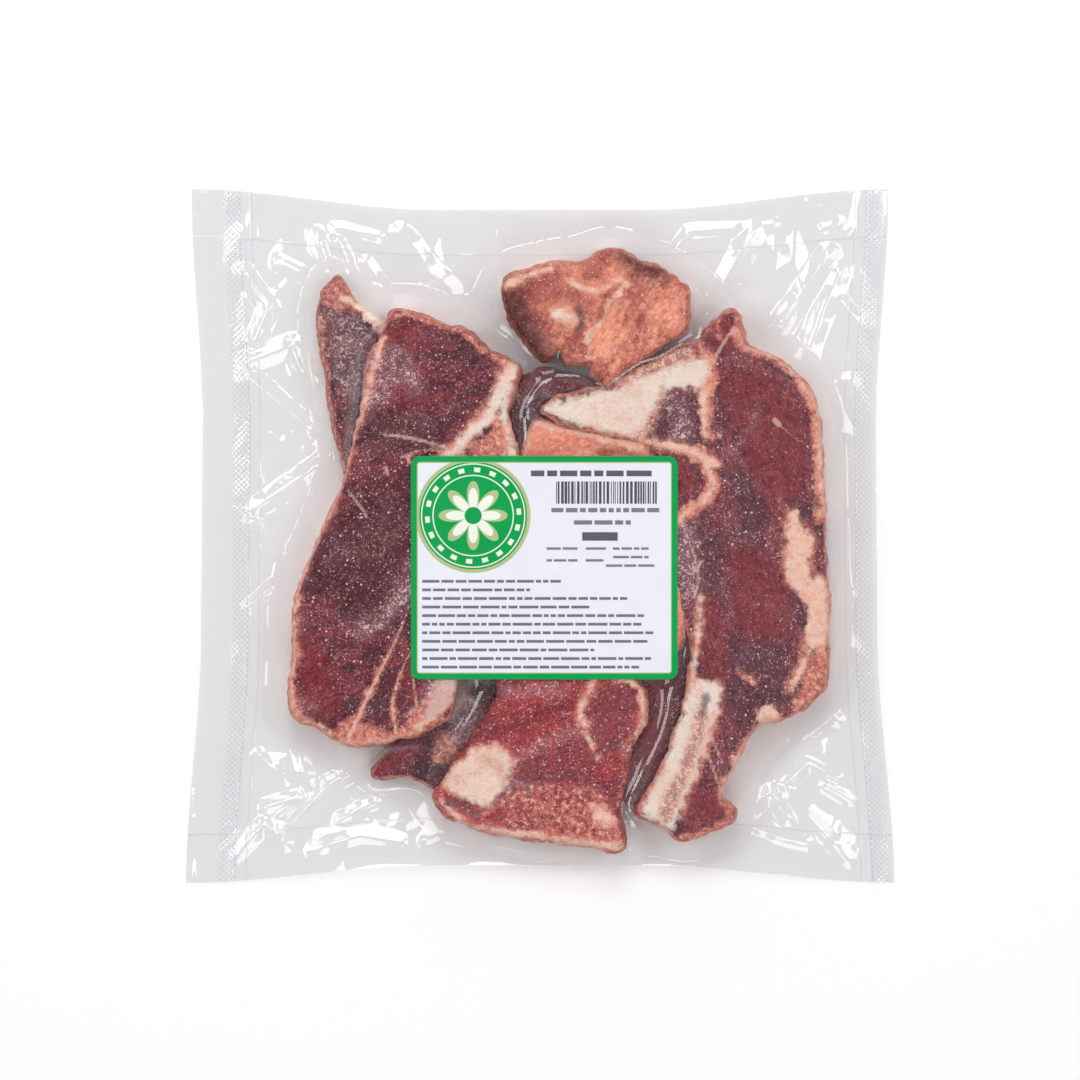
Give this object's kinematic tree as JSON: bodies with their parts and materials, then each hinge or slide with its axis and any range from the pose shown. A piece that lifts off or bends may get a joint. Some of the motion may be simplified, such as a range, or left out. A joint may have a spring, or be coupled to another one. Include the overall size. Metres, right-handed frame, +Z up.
{
  "type": "vacuum-packed raw t-bone steaks in a clear sealed pouch",
  "caption": "Square clear vacuum pouch drawn tight over raw t-bone steaks, with a paper label on top; lies flat with a thin sealed edge all round.",
  "frame": {"origin": "bottom centre of the pouch's box, on the surface it lies on", "axes": "+X to the label's right, +Y to the label's top, +Z up through the label"},
  "size_m": [0.3004, 0.2942, 0.0307],
  "materials": {
    "steaks_in_film": "clear glossy film drawn tight over raw red meat, cream fat and bone",
    "label_paper": "smooth coated white label paper with a green border"
  },
  "bodies": {
    "root": {"vacuum_pouch": "steaks_in_film", "label": "label_paper"}
  },
  "joints": []
}
